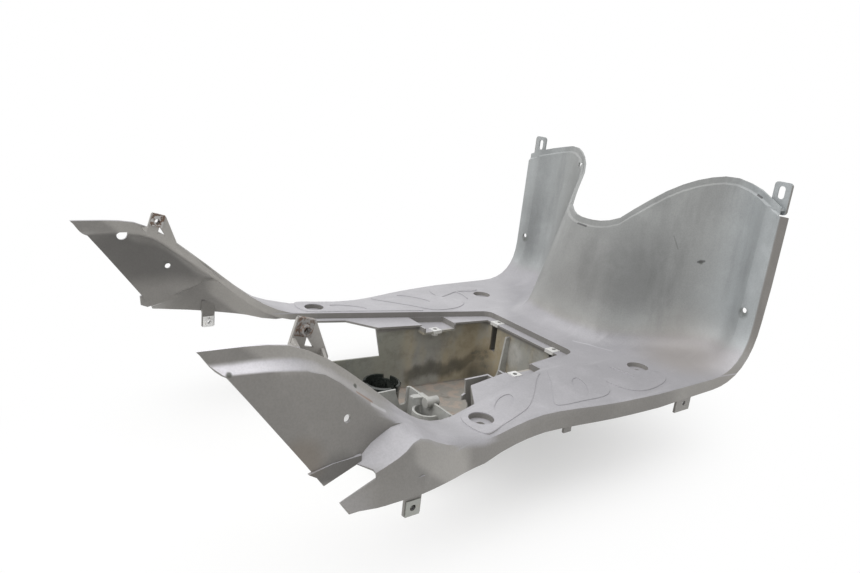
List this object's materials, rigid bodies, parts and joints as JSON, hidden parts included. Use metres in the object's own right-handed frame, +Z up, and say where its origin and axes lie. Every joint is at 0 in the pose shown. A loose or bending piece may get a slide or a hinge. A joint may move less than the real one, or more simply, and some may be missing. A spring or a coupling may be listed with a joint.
{
  "type": "scooter floorboard",
  "caption": "Moulded scooter floorboard with flat tread, bowl-shaped leg shield, rear wings and a battery well, with spring clips and a rubber cup in place.",
  "frame": {"origin": "on the plane of the well's underside, below the middle of the part's length and width", "axes": "+X forward to the leg shield, +Y to the rider's left, +Z up; the tread is level at Z = 95 mm"},
  "size_m": [0.6474, 0.4494, 0.311],
  "materials": {
    "moulding": "fine texture, worn sheen on the tread",
    "zinc": "bright zinc plating",
    "rusted_steel": "rusted sheet",
    "rubber": "shiny black rubber"
  },
  "bodies": {
    "root": {"floorboard": "moulding", "mid_clips": "zinc", "front_clips": "zinc", "leg_clips": "zinc", "bracket_clips": "rusted_steel", "rubber_cup": "rubber"}
  },
  "joints": []
}
